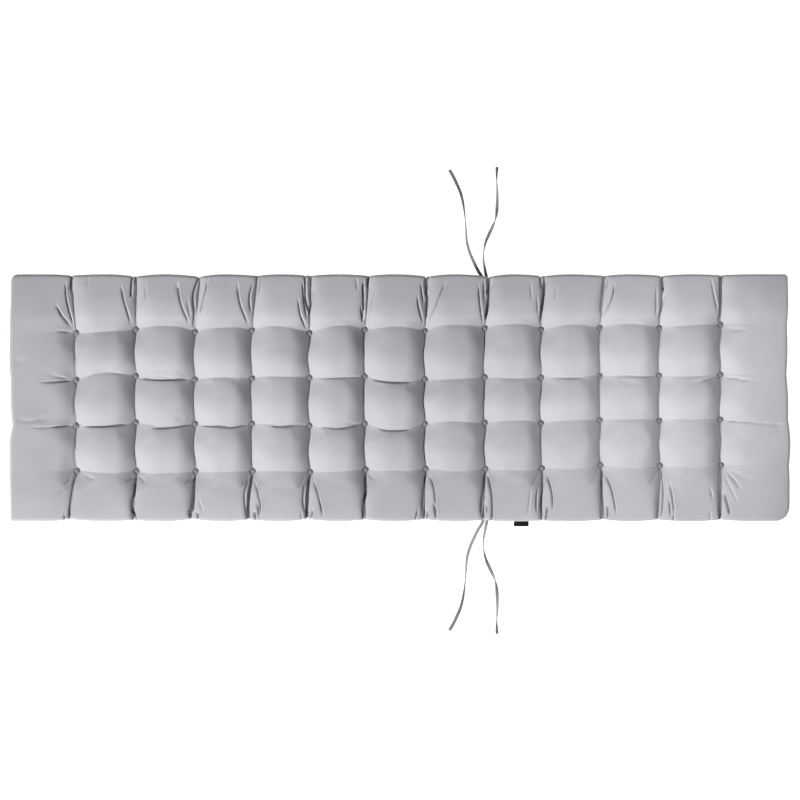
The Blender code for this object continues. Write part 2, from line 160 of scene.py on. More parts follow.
# Tuft rows from the near long edge to the far one. y is the row's middle place, and shift is how
# far its tufts stand along X from their columns. bows says how far each crease between two
# neighbouring tufts swings along Y at its middle, from the low-x end.
Row = namedtuple("Row", "y shift bows")
ROWS = (
    Row(-0.174, 0.002, bows=(
        -0.004, -0.005, -0.001, 0.002, -0.001, -0.004, -0.005, -0.004, -0.005, -0.006, -0.004,
    )),
    Row(-0.062, 0.000, bows=(
        -0.002, -0.007, -0.005, -0.001, -0.007, -0.013, 0.005, 0.007, 0.004, 0.004, 0.003,
    )),
    Row(0.048, 0.000, bows=(
        0.012, 0.000, 0.004, 0.004, -0.001, -0.008, -0.002, -0.002, -0.001, 0.000, -0.003,
    )),
    Row(0.164, 0.000, bows=(
        -0.002, 0.012, 0.009, 0.013, 0.014, 0.009, 0.012, 0.012, 0.009, 0.009, 0.002,
    )),
)

COLUMN_X = np.array([column.x for column in COLUMNS])
ROW_Y = np.array([row.y for row in ROWS])
SEAMS_AND_ROWS = np.array([-WIDTH / 2, *ROW_Y, WIDTH / 2])
TUFTS_BY_ROW = np.array([column.tufts for column in COLUMNS]).T
ROW_BOWS = np.array([row.bows for row in ROWS]).T
COLUMN_BOWS = np.full((len(ROWS) - 1, len(COLUMNS)), COLUMN_BOW)
EDGES = np.array([(column.near, column.far) for column in COLUMNS])

# Space between the pieces and what they lie on
GAP = 0.0003


# Camera

def make_camera():
    """Looks straight down on the middle of the picture, 800 pixels square."""
    half_view = PICTURE / 2 * METRES_A_PIXEL
    camera_data = bpy.data.cameras.new("camera")
    camera_data.sensor_width = CAMERA_SENSOR
    camera_data.lens = CAMERA_SENSOR / 2 / (half_view / (CAMERA_HEIGHT - SEAM_Z))
    camera_data.clip_end = CAMERA_SEES_TO
    camera = bpy.data.objects.new("camera", camera_data)
    bpy.context.scene.collection.objects.link(camera)
    camera.location = (
        (PICTURE / 2 - ORIGIN_PIXEL[0]) * METRES_A_PIXEL,
        (ORIGIN_PIXEL[1] - PICTURE / 2) * METRES_A_PIXEL,
        CAMERA_HEIGHT,
    )
    bpy.context.scene.camera = camera


# Small helpers

TINY = 1e-12


def smooth(t):
    t = np.clip(t, 0.0, 1.0)
    return t * t * (3 - 2 * t)


def faded(distance, reach):
    """1 where the distance is 0, falling evenly to 0 at the reach."""
    return np.maximum(0.0, 1 - distance / reach)


def unit(vectors):
    """The vectors at length 1."""
    return vectors / np.maximum(np.linalg.norm(vectors, axis=-1, keepdims=True), TINY)


def through(knots, t):
    """A smooth curve through the knots, read at each t from 0 to len(knots) - 1."""
    knots = np.asarray(knots, float)
    t = np.atleast_1d(t)
    index = np.minimum(t.astype(int), len(knots) - 2)
    share = (t - index)[:, None]
    padded_knots = np.vstack([2 * knots[0] - knots[1], knots, 2 * knots[-1] - knots[-2]])
    before, a, b, after = (padded_knots[index + k] for k in range(4))
    return 0.5 * (
        2 * a
        + (b - before) * share
        + (2 * before - 5 * a + 4 * b - after) * share**2
        + (3 * a - before - 3 * b + after) * share**3
    )


def quads(ids):
    """The faces of a net of vertices."""
    corners = (ids[:-1, :-1], ids[:-1, 1:], ids[1:, 1:], ids[1:, :-1])
    return np.stack(corners, axis=-1).reshape(-1, 4).tolist()


def numbered(points, first=0):
    """Vertex numbers of a net of points, counted on from the first one."""
    return first + np.arange(points[..., 0].size).reshape(points.shape[:2])


def rings_closed(ids):
    """Each row of vertices with its first one at the end again."""
    return np.hstack([ids, ids[:, :1]])


def new_mesh_object(name, vertices, faces, material, uvs=None):
    mesh = bpy.data.meshes.new(name)
    mesh.from_pydata(np.asarray(vertices, float).tolist(), [], faces)
    mesh.update()
    mesh.shade_smooth()
    if uvs is not None:
        layer = mesh.uv_layers.new(name="cloth")
        corners = np.zeros(len(mesh.loops), np.int32)
        mesh.loops.foreach_get("vertex_index", corners)
        layer.data.foreach_set("uv", np.asarray(uvs, np.float32)[corners].ravel())
    mesh.materials.append(material)
    obj = bpy.data.objects.new(name, mesh)
    bpy.context.scene.collection.objects.link(obj)
    return obj


# Materials

# Each cloth: its colour where palest and darkest, the weave's pitch, the sheen, and how close the
# patches of its mottling are
Cloth = namedtuple("Cloth", "pale dark pitch sheen mottle_scale")
CLOTHS = {
    "tape_cloth": Cloth((0.29, 0.29, 0.305), (0.22, 0.22, 0.23), 0.0006, 0.20, 60.0),
    "cover_cloth": Cloth((0.515, 0.50, 0.535), (0.465, 0.45, 0.485), 0.0005, 0.12, 9.0),
    # The buttons are covered in the cover's own cloth, painted darker: painted shade of the pits they sit
    # in.
    "button_cloth_painted_shade": Cloth((0.235, 0.23, 0.25), (0.20, 0.195, 0.215), 0.0005, 0.12, 60.0),
    "label_cloth": Cloth((0.006, 0.006, 0.007), (0.004, 0.004, 0.005), 0.0004, 0.02, 90.0),
}
CLOTH_ROUGHNESS = 0.82
SHEEN_ROUGHNESS = 0.45
SPECULAR_LEVEL = 0.25
SLUB_SCALE = (40.0, 900.0, 1.0)
NAP_SCALE = 700.0
MOTTLE_SHARE = 0.75
DARK_BELOW = 0.30
PALE_ABOVE = 0.70

# Bumps: how high in metres, and how strong. A thread stands THREAD_HEIGHT of that to either side.
NAP_BUMP = (0.0002, 0.35)
WEAVE_BUMP = (0.0001, 0.45)
THREAD_HEIGHT = 0.5


def new_material(name, base, roughness):
    material = bpy.data.materials.new(name)
    material.use_nodes = True
    shader = material.node_tree.nodes["Principled BSDF"]
    shader.inputs["Base Color"].default_value = (*base, 1.0)
    shader.inputs["Roughness"].default_value = roughness
    material.diffuse_color = (*base, 1.0)
    return material, shader


def math_node(tree, operation, *values):
    node = tree.nodes.new("ShaderNodeMath")
    node.operation = operation
    for socket, value in zip(node.inputs, values):
        if hasattr(value, "is_output"):
            tree.links.new(value, socket)
        else:
            socket.default_value = value
    return node.outputs[0]


def noise_node(tree, vector, scale, detail, roughness=0.5):
    node = tree.nodes.new("ShaderNodeTexNoise")
    node.inputs["Scale"].default_value = scale
    node.inputs["Detail"].default_value = detail
    node.inputs["Roughness"].default_value = roughness
    tree.links.new(vector, node.inputs["Vector"])
    return node.outputs["Fac"]


def ramp_node(tree, factor, low, high):
    """Blends two colours, each given with its place on the ramp."""
    node = tree.nodes.new("ShaderNodeValToRGB")
    for element, (place, colour) in zip(node.color_ramp.elements, (low, high)):
        element.position = place
        element.color = (*colour, 1.0)
    tree.links.new(factor, node.inputs["Fac"])
    return node.outputs["Color"]


def thread_waves(tree, vector, pitch):
    """A plain weave's height: threads along both ways that pass over and under each other."""
    split = tree.nodes.new("ShaderNodeSeparateXYZ")
    tree.links.new(vector, split.inputs[0])
    waves = []
    for axis in ("X", "Y"):
        phase = math_node(tree, "MULTIPLY", split.outputs[axis], 2 * math.pi / pitch)
        waves.append(math_node(tree, "SINE", phase))
    crossing = math_node(tree, "MULTIPLY", waves[0], waves[1])
    return math_node(tree, "MULTIPLY", crossing, THREAD_HEIGHT)


def bump_nodes(tree, shader, heights):
    """Chains bumps, each (height socket, (metres, strength)), into the shader's normal."""
    normal = None
    for height, (distance, strength) in heights:
        bump = tree.nodes.new("ShaderNodeBump")
        bump.inputs["Distance"].default_value = distance
        bump.inputs["Strength"].default_value = strength
        tree.links.new(height, bump.inputs["Height"])
        if normal:
            tree.links.new(normal, bump.inputs["Normal"])
        normal = bump.outputs["Normal"]
    tree.links.new(normal, shader.inputs["Normal"])


def cloth_material(name):
    """Fine brushed cloth: a plain weave, faint slubs and a soft mottling."""
    cloth = CLOTHS[name]
    base = [(a + b) / 2 for a, b in zip(cloth.pale, cloth.dark)]
    material, shader = new_material(name, base, CLOTH_ROUGHNESS)
    tree = material.node_tree
    shader.inputs["Sheen Weight"].default_value = cloth.sheen
    shader.inputs["Sheen Roughness"].default_value = SHEEN_ROUGHNESS
    shader.inputs["Specular IOR Level"].default_value = SPECULAR_LEVEL
    uv_map = tree.nodes.new("ShaderNodeUVMap")
    uv_map.uv_map = "cloth"
    places = uv_map.outputs["UV"]
    slub_map = tree.nodes.new("ShaderNodeMapping")
    slub_map.inputs["Scale"].default_value = SLUB_SCALE
    tree.links.new(places, slub_map.inputs["Vector"])
    mottle = noise_node(tree, places, cloth.mottle_scale, detail=4.0, roughness=0.55)
    slubs = noise_node(tree, slub_map.outputs["Vector"], scale=1.0, detail=2.0)
    mottle_part = math_node(tree, "MULTIPLY", mottle, MOTTLE_SHARE)
    slub_part = math_node(tree, "MULTIPLY", slubs, 1 - MOTTLE_SHARE)
    shade = math_node(tree, "ADD", mottle_part, slub_part)
    colour = ramp_node(tree, shade, (DARK_BELOW, cloth.dark), (PALE_ABOVE, cloth.pale))
    tree.links.new(colour, shader.inputs["Base Color"])
    weave = thread_waves(tree, places, cloth.pitch)
    nap = noise_node(tree, places, NAP_SCALE, detail=2.0)
    bump_nodes(tree, shader, ((nap, NAP_BUMP), (weave, WEAVE_BUMP)))
    return material


# The tufted form, on a square net whose lines run straight through the tufts. The net is swung to
# the real creases and outline, and gets its height, for whole arrays.

def nearest(lines, values):
    """Index of the tuft line nearest to each value, and the signed distances from them."""
    index = np.abs(values[:, None] - lines[None, :]).argmin(axis=1)
    return index, values - lines[index]


def between(lines, values):
    """Which gap between two lines each value is in, and its share of the way across that gap."""
    gap = np.clip(np.searchsorted(lines, values, side="right") - 1, 0, len(lines) - 2)
    return gap, (values - lines[gap]) / (lines[gap + 1] - lines[gap])


def puff_share(lines, values):
    """0 on a tuft line, rising to 1 halfway across the puff beside it."""
    share = between(lines, values)[1]
    return np.minimum(2 * np.minimum(np.abs(share), np.abs(1 - share)), 1.0)


def fall_share(lines, values, section, narrowing=1.0):
    """1 on a tuft line, falling to 0 at the crest of the puff on either side of it."""
    width = np.diff(lines)[between(lines, values)[0]]
    off = nearest(lines, values)[1]
    reach = width * np.where(off < 0, 1 - section.crest, section.crest)
    power = np.where(off < 0, section.high, section.low)
    even = np.zeros_like(off)
    for beyond, outer in ((values < lines[0], section.before), (values > lines[-1], section.after)):
        reach = np.where(beyond, outer.reach, reach)
        power = np.where(beyond, outer.power, power)
        even = np.where(beyond, outer.even, even)
    share = faded(np.abs(off), reach)
    whole = math.hypot(1, CREST_ROUNDING) - CREST_ROUNDING
    share = (np.hypot(share, CREST_ROUNDING) - CREST_ROUNDING) / whole
    evenly = faded(np.abs(off), EVEN_REACH)
    return even * evenly + (1 - even) * share ** (power / narrowing)


def beyond_tufts(lines, values, half_span):
    """How far each value is beyond the outer tuft lines, and its share of the way to the seam."""
    outer = np.where(values > 0, abs(lines[-1]), abs(lines[0]))
    beyond = np.maximum(0.0, np.abs(values) - outer)
    return beyond, beyond / (half_span - outer)


def swings(lines, values, bows, reach, seed):
    """How far creases swing between two tufts: a bow and two small waves, the same on every run."""
    gap, share = between(lines, values)
    angle = np.pi * np.clip(share, 0.0, 1.0)[:, None]
    waves = np.random.default_rng(seed).uniform(-reach, reach, (2, *bows.shape))
    return sum(sizes[gap] * np.sin(k * angle) for k, sizes in enumerate((bows, *waves), 1))


def swung_net(u, v, inner):
    """The net through the real tufts, with its creases bowed and wandering between them."""
    column, off_u = nearest(COLUMN_X, u)
    row, off_v = nearest(ROW_Y, v)
    tufts_here = [np.interp(u, COLUMN_X, tufts) for tufts in TUFTS_BY_ROW]
    placed = np.array([np.full_like(u, -WIDTH / 2), *tufts_here, np.full_like(u, WIDTH / 2)])
    low, share = between(SEAMS_AND_ROWS, v)
    y = placed[low] * (1 - share)[:, None] + placed[low + 1] * share[:, None]
    swing_v = swings(COLUMN_X, u, ROW_BOWS, ROW_WANDER, ROW_SEED).T[row]
    y += swing_v * smooth(faded(np.abs(off_v), BOW_REACH))[:, None] * inner

    row_shift = np.interp(v, ROW_Y, [r.shift for r in ROWS])[:, None]
    swing_u = swings(ROW_Y, v, COLUMN_BOWS, COLUMN_WANDER, COLUMN_SEED)[:, column]
    x = u[None, :] + (row_shift + swing_u * smooth(faded(np.abs(off_u), BOW_REACH))) * inner
    return x, y


def plan_net(u, v):
    """The plan places, X and Y, of a net with lines at u along X and at v along Y."""
    column, off_u = nearest(COLUMN_X, u)
    near = (v < 0)[:, None]
    to_edge = beyond_tufts(ROW_Y, v, WIDTH / 2)[1][:, None]
    to_end = beyond_tufts(COLUMN_X, u, LENGTH / 2)[1][None, :]
    x, y = swung_net(u, v, (1 - to_edge) * (1 - to_end))

    # The columns fan out to their main creases at the seam, and draw the long edges in there
    main, pinch = (np.where(near, *sides) for sides in EDGES[column].T)
    x = x + main * faded(np.abs(off_u), FAN_HALF) * to_edge
    along_edge = 1 - puff_share(COLUMN_X, u)
    gathered = smooth((to_edge - PINCH_FROM) / (1 - PINCH_FROM))
    y = y - np.sign(v)[:, None] * PINCH_SHARE * pinch * along_edge**PINCH_SHARPNESS * gathered

    # The rows draw the ends in
    row = nearest(ROW_Y, v)[0]
    end_pinch = np.where(u < 0, *np.array(END_PINCHES)[:, row, None])
    along_end = (1 - puff_share(ROW_Y, v))[:, None]
    gathered = smooth((to_end - PINCH_FROM) / (1 - PINCH_FROM))
    x = x - np.sign(u) * end_pinch * along_end**PINCH_SHARPNESS * gathered

    x, y = round_corners(x, y)
    puffs = (SEAMS_AND_ROWS[:-1] + SEAMS_AND_ROWS[1:]) / 2
    puff_places = np.interp(v, puffs, np.arange(len(puffs)))
    end_inset = np.where(u < 0, *through(np.array(END_INSETS).T, puff_places).T[..., None])
    x = x - np.sign(u) * end_inset * smooth(to_end)
    y = y - NEAR_EDGE_OUT * near * smooth(to_edge)
    return x, y


def round_corners(x, y):
    """Draws the square corners of the net in to the cushion's rounded ones."""
    for (end, side), radius in CORNER_RADII.items():
        reach_x, reach_y = LENGTH / 2 - radius, WIDTH / 2 - radius
        p = (end * x - reach_x) / radius
        q = (side * y - reach_y) / radius
        inside = (p > 0) & (q > 0)
        p, q = p[inside], q[inside]
        x[inside] = end * (reach_x + p * np.sqrt(1 - np.minimum(q, 1) ** 2 / 2) * radius)
        y[inside] = side * (reach_y + q * np.sqrt(1 - np.minimum(p, 1) ** 2 / 2) * radius)
    return x, y


def edge_fall(values, half_span, falls):
    """How far the outer puffs have fallen, on their way to either seam."""
    fallen = np.zeros_like(values)
    for side, fall in zip((-1, 1), falls):
        inset = half_span - side * values
        fallen += fall.drop * faded(inset, fall.reach) ** fall.power
    return fallen


def distance_to_tuft(u, v):
    """How far each point of a net is from the nearest tuft."""
    return np.hypot(nearest(COLUMN_X, u)[1][None, :], nearest(ROW_Y, v)[1][:, None])


def turned_net(u, v, turn, fullness):
    """0 at the seam, rising to 1 where the cloth has turned level."""
    shares = []
    for values, half_span in ((u, LENGTH / 2), (v, WIDTH / 2)):
        inset = np.clip((half_span - np.abs(values)) / turn, 0.0, 1.0)
        shares.append((1 - (1 - inset) ** fullness) ** (1 / fullness))
    return shares[0][None, :] * shares[1][:, None]


def top_net(u, v):
    """Height of the upper panel's broad form over a net: puffs, creases, tuft seats, turned edge."""
    to_edge = beyond_tufts(ROW_Y, v, WIDTH / 2)[1][:, None]
    on_column = fall_share(COLUMN_X, u, SECTION_X, 1 - EDGE_CREASE_NARROWING * to_edge)
    column_depth = (CROWN_Z - COLUMN_CREASE_Z) * (1 - (1 - EDGE_CREASE_SHARE) * to_edge)
    beyond = beyond_tufts(COLUMN_X, u, LENGTH / 2)[0][None, :]
    on_row = fall_share(ROW_Y, v, SECTION_Y)[:, None]
    row_depth = (CROWN_Z - ROW_CREASE_Z) * faded(beyond, END_CREASE_REACH) ** END_CREASE_FADE
    drop = column_depth * on_column + row_depth * on_row * (1 - on_column)
    drop = drop + SLIT_DEPTH * np.exp(-((nearest(COLUMN_X, u)[1] / SLIT_WIDTH) ** 2))
    out = distance_to_tuft(u, v)
    drop = drop + PIT_DEPTH * faded(out, PIT_REACH) ** PIT_SHARPNESS
    drop = drop + edge_fall(u, LENGTH / 2, END_FALLS)[None, :]
    drop = drop + edge_fall(v, WIDTH / 2, LONG_EDGE_FALLS)[:, None]
    turned = turned_net(u, v, TOP_TURN, TOP_FULLNESS)
    z = SEAM_Z + (CROWN_Z - drop - SEAM_Z) * turned
    risen = smooth((out - SEAT_RADIUS) / SEAT_WALL)
    return SEAT_Z * (1 - risen) + z * risen


def under_net(u, v):
    """Height of the underside: flat on the surface, dimpled at each tuft, turned up to the seam."""
    dimple = np.exp(-((distance_to_tuft(u, v) / UNDER_DIMPLE_REACH) ** 2))
    turned = turned_net(u, v, UNDER_TURN, UNDER_FULLNESS)
    return UNDER_DIMPLE * dimple + SEAM_Z * (1 - turned)


def net_points(u, v, z):
    """The points of a net in the frame, from their heights."""
    return np.stack([*plan_net(u, v), z], axis=-1)


def away_from_seam(u, v, reach):
    """0 at the seam, rising to 1 at the reach from it."""
    inset_u, inset_v = LENGTH / 2 - np.abs(u), WIDTH / 2 - np.abs(v)
    return smooth(inset_u / reach)[None, :] * smooth(inset_v / reach)[:, None]


def resampled(values, from_u, from_v, u, v):
    """Smoothly reads values given on one net at the points of another."""
    at_u = np.interp(u, from_u, np.arange(len(from_u)))
    at_v = np.interp(v, from_v, np.arange(len(from_v)))
    along_v = through(values.reshape(len(from_v), -1), at_v).reshape(len(v), len(from_u), -1)
    turned = along_v.transpose(1, 0, 2).reshape(len(from_u), -1)
    return through(turned, at_u).reshape(len(u), len(v), -1).transpose(1, 0, 2)


def lumps(u, v):
    """How far the uneven filling raises each point of a net, the same on every run."""
    random = np.random.default_rng(LUMP_SEED)
    grid_u = np.arange(-LENGTH / 2, LENGTH / 2 + LUMP_SPACING, LUMP_SPACING)
    grid_v = np.arange(-WIDTH / 2, WIDTH / 2 + LUMP_SPACING, LUMP_SPACING)
    swells = random.uniform(-LUMP_HEIGHT, LUMP_HEIGHT, (len(grid_v), len(grid_u), 1))
    return resampled(swells, grid_u, grid_v, u, v)[..., 0] * away_from_seam(u, v, LUMP_SEAM_REACH)


# Cloth simulation of the upper panel, on a coarse net that is held at the tufts and the seam, and
# less firmly along the creases. Its movement levels off at a cap, and is used in full only well away
# from a tuft and the seam.

SIM_STEP = 0.0080
SIM_FRAMES = 22
SIM_CAP = 0.006
SIM_SLACK = -0.010
SIM_PRESSURE = 0.5
SIM_SEAT = 0.009
SIM_CREASE_HOLD = 0.6
SIM_STILL_WITHIN = 0.010
SIM_FREE_BEYOND = 0.066
SIM_SEAM_REACH = 0.280


def sim_lines(tufts, half_span):
    marks = [-half_span, *tufts, half_span]
    parts = [np.linspace(a, b, round((b - a) / SIM_STEP) + 1)[:-1] for a, b in zip(marks, marks[1:])]
    return np.concatenate([*parts, [half_span]])


def sim_holds(u, v):
    """How firmly each point of the simulated net is held, 1 for not moving at all."""
    off_u, off_v = nearest(COLUMN_X, u)[1][None, :], nearest(ROW_Y, v)[1][:, None]
    creases = (np.abs(off_u) < SIM_STEP / 4) | (np.abs(off_v) < SIM_STEP / 4)
    hold = np.where(creases, SIM_CREASE_HOLD, 0.0)
    hold[distance_to_tuft(u, v) < SIM_SEAT] = 1.0
    hold[[0, 1, -2, -1], :] = 1.0
    hold[:, [0, 1, -2, -1]] = 1.0
    return hold.ravel()


def puffed_by_cloth(u, v):
    """How far each point of a cloth, tufted and sewn as the cushion is, moves when pressed out."""
    scene = bpy.context.scene
    start = net_points(u, v, top_net(u, v))
    mesh = bpy.data.meshes.new("cloth_net")
    mesh.from_pydata(start.reshape(-1, 3).tolist(), [], quads(numbered(start)))
    cloth_net = bpy.data.objects.new("cloth_net", mesh)
    scene.collection.objects.link(cloth_net)
    hold = sim_holds(u, v)
    group = cloth_net.vertex_groups.new(name="held")
    for strength in (SIM_CREASE_HOLD, 1.0):
        group.add(np.where(hold == strength)[0].tolist(), strength, "REPLACE")

    cloth = cloth_net.modifiers.new("cloth", "CLOTH")
    settings = cloth.settings
    settings.quality = 6
    settings.mass = 0.25
    settings.tension_stiffness = 20
    settings.compression_stiffness = 12
    settings.shear_stiffness = 8
    settings.bending_stiffness = 0.6
    settings.shrink_min = SIM_SLACK
    settings.use_pressure = True
    settings.uniform_pressure_force = SIM_PRESSURE
    settings.effector_weights.gravity = 0
    settings.vertex_group_mass = "held"
    settings.pin_stiffness = 1.0
    cloth.collision_settings.use_collision = False
    for frame_number in range(1, SIM_FRAMES + 1):
        scene.frame_set(frame_number)
    evaluated = cloth_net.evaluated_get(bpy.context.evaluated_depsgraph_get())
    settled = np.empty(start.size, np.float32)
    evaluated.data.vertices.foreach_get("co", settled)
    moved = settled.reshape(start.shape) - start
    bpy.data.objects.remove(cloth_net, do_unlink=True)
    scene.frame_set(1)

    distance = np.linalg.norm(moved, axis=-1, keepdims=True)
    return unit(moved) * SIM_CAP * np.tanh(distance / SIM_CAP)


def add_cloth_movement(tops, nets):
    """Moves each net as the simulated cloth moves, but not at the tufts and the seam."""
    sim_u, sim_v = sim_lines(COLUMN_X, LENGTH / 2), sim_lines(ROW_Y, WIDTH / 2)
    moved = puffed_by_cloth(sim_u, sim_v)
    for top, (u, v) in zip(tops, nets):
        beyond = distance_to_tuft(u, v) - SIM_STILL_WITHIN
        freed = smooth(beyond / (SIM_FREE_BEYOND - SIM_STILL_WITHIN)) * away_from_seam(u, v, SIM_SEAM_REACH)
        top += resampled(moved, sim_u, sim_v, u, v) * freed[..., None]


# Folds in the upper panel. depth is how far a fold's slit goes down, width its half width, ridge how
# far the cloth stands up beside it, and taper how far it takes to fade in at either end, in metres.

Kind = namedtuple("Kind", "depth width ridge taper")
SHARP = Kind(0.0135, 0.0019, 0.0022, 0.010)
CLEAR = Kind(0.0080, 0.0016, 0.0022, 0.024)
SOFT = Kind(0.0028, 0.0024, 0.0014, 0.024)
TUCK = Kind(0.0065, 0.0015, 0.0008, 0.018)
LONGEST_TAPER = 0.4
READINGS_A_POINT = 10
GENTLE_WALL = 1.25
STEEP_WALL = 0.65
LEAN_SHARE = 0.25
LEAN_REACH = 0.0035
RIDGE_REACH = 0.0055
FOLD_REACH = 0.016
SEAM_KEPT = 0.014

# Which side a fold's ridge is on, in the picture
RIGHT = np.array([1.0, 0.0])
UP = np.array([0.0, -1.0])

# The folds, read off the photograph. Each bracket is one fold: the x and y of its points in
# turn, in the photograph's pixels. Pleats run in from the long edges, and level folds along the tuft
# rows, some of them as soft arcs above the creases.
SHARP_PLEATS = (
    # Far edge
    (72, 272, 72, 279, 71.5, 292), (134, 272, 132.5, 281, 131.5, 297),
    (201, 272, 199.5, 278, 194, 295, 195, 313, 194, 327),
    (305.6, 272, 305.6, 280, 306.3, 297, 308.8, 311), (363.7, 281.7, 364.3, 302, 363.7, 321),
    (427, 272, 426.6, 280, 426.3, 297), (489, 272, 488.8, 280, 487.6, 295.7),
    (492, 283, 488.8, 304.6, 485.6, 320), (540.5, 272, 541, 278, 542.4, 289),
    (545, 279, 544.3, 293, 541.8, 313.6, 540.5, 324), (661.7, 272, 661.9, 278, 663.5, 291.5),
    (721.3, 270, 721.3, 276, 721.1, 310, 719.1, 321),
    # Near edge
    (136.5, 476.7, 135.2, 492, 132.7, 506, 136.5, 518.8, 138, 524),
    (189.6, 508.6, 191.5, 517.6, 192.5, 524), (195.2, 476.7, 194.4, 494, 193.2, 511),
    (197.2, 511, 198.5, 518, 199, 524), (252.7, 475.5, 249.5, 498.4, 248.9, 517.6, 248.9, 524),
    (254, 510, 255.9, 518.8, 257, 524), (310, 476.7, 307.8, 498, 307.6, 517.6, 308, 524),
    (313.3, 508.6, 311.4, 517.6, 311, 524), (365.6, 474, 366.2, 492, 364.3, 504.8, 363.7, 524),
    (427, 508.6, 427.6, 517.6, 427.8, 524), (485, 472, 483.5, 492, 482.5, 500, 481.5, 514),
    (485.4, 503, 486.7, 510, 482.4, 524), (487.2, 474, 490.6, 488.5, 492, 503, 492.2, 524),
    (547.5, 504.8, 546.5, 514, 546.2, 526), (601.7, 469.6, 602, 494, 602.2, 524),
    (607.2, 504.4, 607.5, 512, 607.7, 524), (660.2, 468, 662.7, 489.5, 661.9, 509.4, 657.7, 524),
    (720.4, 468, 720.3, 489.5, 720.8, 526), (724, 492.8, 727, 503, 730.7, 514.4),
)
CLEAR_PLEATS = (
    # Far edge
    (55, 302, 62, 315, 73, 328), (65.5, 281, 67, 300, 74, 326), (120.5, 283, 125, 303, 132, 325),
    (137, 272, 136, 280, 134.2, 285), (177.5, 280, 181, 303, 190, 325),
    (209, 277, 203, 300, 200, 315), (237.4, 281.7, 240, 302, 249, 325),
    (254, 281.7, 250, 297, 251.4, 313.6), (260.4, 272, 260.4, 279, 258.4, 297),
    (298, 297, 301, 315, 307.6, 330), (302.5, 279, 304.5, 300, 307.5, 320),
    (315, 285.5, 311.4, 304.6, 308.8, 321), (361, 305, 362, 313, 363.3, 323),
    (369.5, 272, 368.8, 280, 367.5, 289), (417.4, 294, 419.3, 307, 423.8, 324),
    (420.8, 281, 422.3, 292, 424.2, 305), (428.9, 290.6, 427, 311, 425.7, 321),
    (446.7, 280, 436.5, 304.6, 428.9, 322.5), (478.6, 283, 480.5, 304.6, 483.7, 324),
    (484.2, 278, 484.5, 290, 485, 303), (604, 272, 603.8, 281.6, 602.2, 298, 600.5, 314.7),
    (607.5, 275, 607.2, 280, 606.3, 290), (615.5, 281.6, 611.3, 299.8, 601.4, 319.7),
    (666, 291.5, 662.7, 303, 658.6, 323), (724.2, 273, 724, 278, 723.8, 283),
    # Near edge
    (65, 512, 64.4, 518, 64.4, 524), (75.8, 475.5, 72.6, 492, 70.3, 508.6, 70.2, 524),
    (254.6, 479, 259, 498, 261.6, 516), (256, 499, 258.3, 508, 260, 519),
    (313.3, 478, 319, 498.4, 324, 517.6), (419.3, 507, 416, 518.8, 415, 524),
    (426.3, 471.6, 423.8, 492, 422.5, 512.4), (428.9, 473, 434, 489.5, 436.5, 517.6),
    (433, 500, 434.8, 509, 437, 521), (538.5, 487, 536.9, 500, 537, 514),
    (542.4, 471.6, 542.4, 492, 540.5, 515), (545.6, 471.6, 551.3, 490.8, 553.2, 511),
    (603.8, 471, 611.3, 489.5, 617, 514.4), (669, 497, 670, 506, 671.5, 517),
    (669.4, 481, 672.7, 497.8, 675.2, 514.4), (674.6, 513.8, 674, 519.5, 674, 525),
    (725, 469.3, 733, 478, 742.5, 490.5),
)
SOFT_PLEATS = (
    # Far edge
    (90.8, 275, 88.5, 281, 85.8, 287), (146.7, 283, 146, 292, 145, 301),
    (187, 296, 189, 308, 191.5, 320), (356.7, 276, 357, 283, 357.5, 291),
    (377.7, 285.5, 373, 301, 368.8, 317), (530.8, 280, 531.5, 290, 532, 301),
    (537.3, 293, 538, 305, 538.6, 317), (558, 285, 556.5, 293, 554.5, 301),
    (656.9, 285, 656.9, 301, 656.9, 318), (711, 277, 716, 301, 719, 313),
    # Near edge
    (73, 477, 66.5, 487, 57, 496), (73.8, 474.3, 69.5, 479, 62.5, 484.8),
    (135.6, 474.3, 131, 478.5, 124, 482), (139.2, 474.3, 142.5, 478.5, 147, 483),
    (194.6, 474.3, 190.5, 479.5, 184, 484.3), (199, 498, 201, 505, 203.5, 512),
    (246, 487, 245.2, 499, 247.3, 517), (249, 478, 247, 487, 243.5, 496),
    (251, 474.3, 246.5, 480.5, 240, 486), (301.5, 510, 302, 516, 302.2, 524),
    (305.5, 482, 303.7, 500, 306, 515), (306.5, 475.5, 302, 483, 295, 490),
    (367.7, 472.5, 371, 475.5, 376, 479.5), (531.7, 489, 530, 501, 528, 515),
    (539.5, 472, 536, 480, 530, 487), (599, 472, 595, 479, 588, 486),
    (658, 471.5, 654, 479, 647.5, 486), (710, 487, 712, 493, 713.5, 499),
    (710.8, 510, 710.8, 516, 710.8, 524), (723.8, 471.8, 730, 486, 738.8, 503),
    (725, 468, 739, 474, 755, 481.8),
)
CLEAR_LEVEL_FOLDS = (
    (40, 381.5, 55, 381.3, 73, 379.7), (49, 426.7, 62, 426, 74, 425),
    (82.5, 425.8, 105, 425.5, 130, 423.5), (137.5, 377.5, 155, 378.8, 190, 378.8),
    (270, 425, 285, 425.8, 307.5, 424.3), (370, 378, 382.5, 380.5, 397.5, 381.8, 412.5, 381.3),
)
TUCKED_LEVEL_FOLDS = (
    (151, 427.5, 170, 426.8, 193.8, 424), (198.8, 425, 220, 426, 231, 426.8, 248.8, 424),
    (320, 426.3, 336, 428, 352.5, 426, 362.5, 422.5), (377.5, 428, 390, 430, 405, 429.3, 411, 428),
    (724.5, 376.6, 738, 378, 754, 380.3), (725, 420.3, 752, 421.8, 784, 424.6),
)
